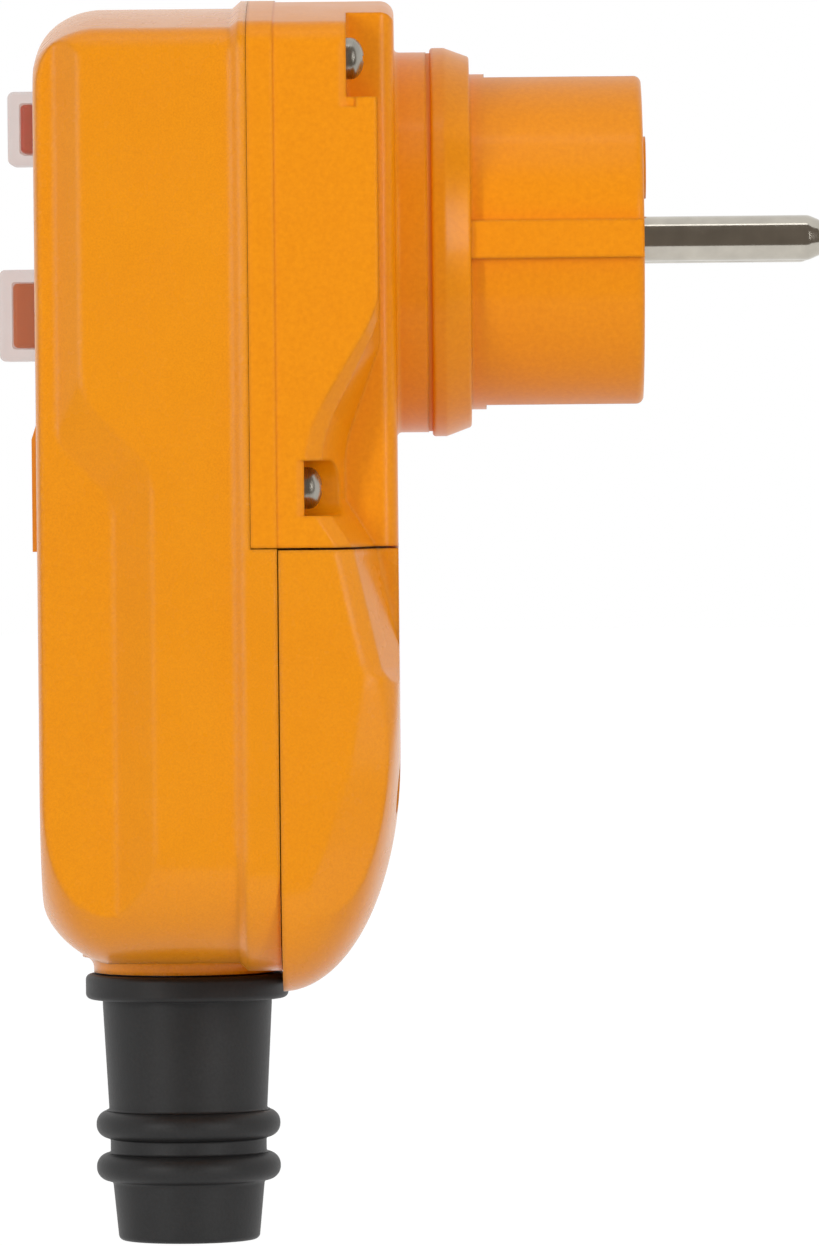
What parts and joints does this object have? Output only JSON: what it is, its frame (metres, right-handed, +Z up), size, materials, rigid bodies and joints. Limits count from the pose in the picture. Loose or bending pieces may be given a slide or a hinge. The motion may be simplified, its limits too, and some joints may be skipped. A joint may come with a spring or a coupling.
{
  "type": "rcd_adapter_plug",
  "caption": "Rewirable round-head earthed plug with a residual-current device: tall housing, capped test and reset buttons, rubber cord boot below.",
  "frame": {"origin": "centre of the plug head's end face, midway between the pins where they leave it", "axes": "X across the housing; -Y out of the buttons, +Y along the pins; Z up, the cord leaves along -Z"},
  "size_m": [0.062, 0.0879, 0.133],
  "materials": {
    "front_shell": "fine satin grain",
    "rear_shell": "smooth, semi-gloss",
    "seal": "matte",
    "pin": "nickel plated",
    "spring_metal": "sprung plated strip",
    "screw_metal": "zinc plated",
    "plate": "satin",
    "cap_silicone": "translucent silicone",
    "test_key": "satin",
    "reset_key": "satin",
    "spring_steel": "drawn wire",
    "dark_plastic": "satin",
    "board": "solder mask",
    "chip": "matte",
    "capacitor": "sleeve",
    "brass": "bare",
    "chassis": "moulded",
    "carrier": "moulded",
    "copper_coil": "enamelled wire",
    "yoke_steel": "plain",
    "ferrite": "matte",
    "lead_sleeve": "insulation",
    "boot_rubber": "matte"
  },
  "bodies": {
    "housing": {"front_housing": "front_shell", "rear_housing": "rear_shell", "terminal_cover": "front_shell", "housing_gasket": "seal", "plug_insert": "rear_shell", "line_pin": "pin", "neutral_pin": "pin", "plug_seal_ring": "seal", "earth_contact": "spring_metal", "face_screw": "screw_metal", "front_plate": "plate", "test_membrane": "cap_silicone", "reset_membrane": "cap_silicone", "test_spring": "spring_steel", "reset_spring": "spring_steel", "button_bracket": "dark_plastic", "bracket_screws": "screw_metal", "circuit_board": "board", "board_chips": "chip", "board_capacitors": "capacitor", "test_pads": "brass", "mechanism_frame": "chassis", "frame_screws": "screw_metal", "fixed_contacts": "brass", "carrier_spring": "spring_steel", "trip_coil": "copper_coil", "coil_yoke": "yoke_steel", "latch_pin": "yoke_steel", "sensor_core": "ferrite", "sensor_winding": "copper_coil", "internal_leads": "lead_sleeve", "terminal_block": "carrier", "terminal_clamps": "brass", "terminal_screws": "screw_metal", "cable_clamp": "dark_plastic", "clamp_screws": "screw_metal", "cable_boot": "boot_rubber", "upper_housing_screws": "screw_metal", "lower_housing_screws": "screw_metal", "cover_screws": "screw_metal"},
    "test_key": {"test_button": "test_key"},
    "reset_key": {"reset_button": "reset_key"},
    "carrier": {"contact_carrier": "carrier", "moving_contacts": "brass"},
    "plunger": {"trip_plunger": "yoke_steel"},
    "latch": {"latch_lever": "spring_metal"}
  },
  "joints": [
    {"name": "test_press", "type": "slide", "parent": "housing", "child": "test_key", "axis": [0, 1, 0], "range_m": [0, 0.0015], "stiffness_N_per_m": 400, "springref_m": -0.002, "deforming": ["test_membrane", "test_spring"]},
    {"name": "reset_press", "type": "slide", "parent": "housing", "child": "reset_key", "axis": [0, 1, 0], "range_m": [0, 0.002], "stiffness_N_per_m": 500, "springref_m": -0.002, "deforming": ["reset_membrane", "reset_spring"]},
    {"name": "contacts_close", "type": "slide", "parent": "housing", "child": "carrier", "axis": [0, 1, 0], "range_m": [0, 0.002], "deforming": ["carrier_spring"]},
    {"name": "trip_pull", "type": "slide", "parent": "housing", "child": "plunger", "axis": [0, 0, 1], "range_m": [0, 0.001]},
    {"name": "latch_turn", "type": "hinge", "parent": "housing", "child": "latch", "pos_m": [0, -0.0419, 0], "axis": [1, 0, 0], "range_deg": [0, 15]}
  ],
  "couplings": [
    {"joint": "contacts_close", "follows": "reset_press", "ratio": 1},
    {"joint": "latch_turn", "follows": "trip_pull", "rad_per_m": 250}
  ]
}
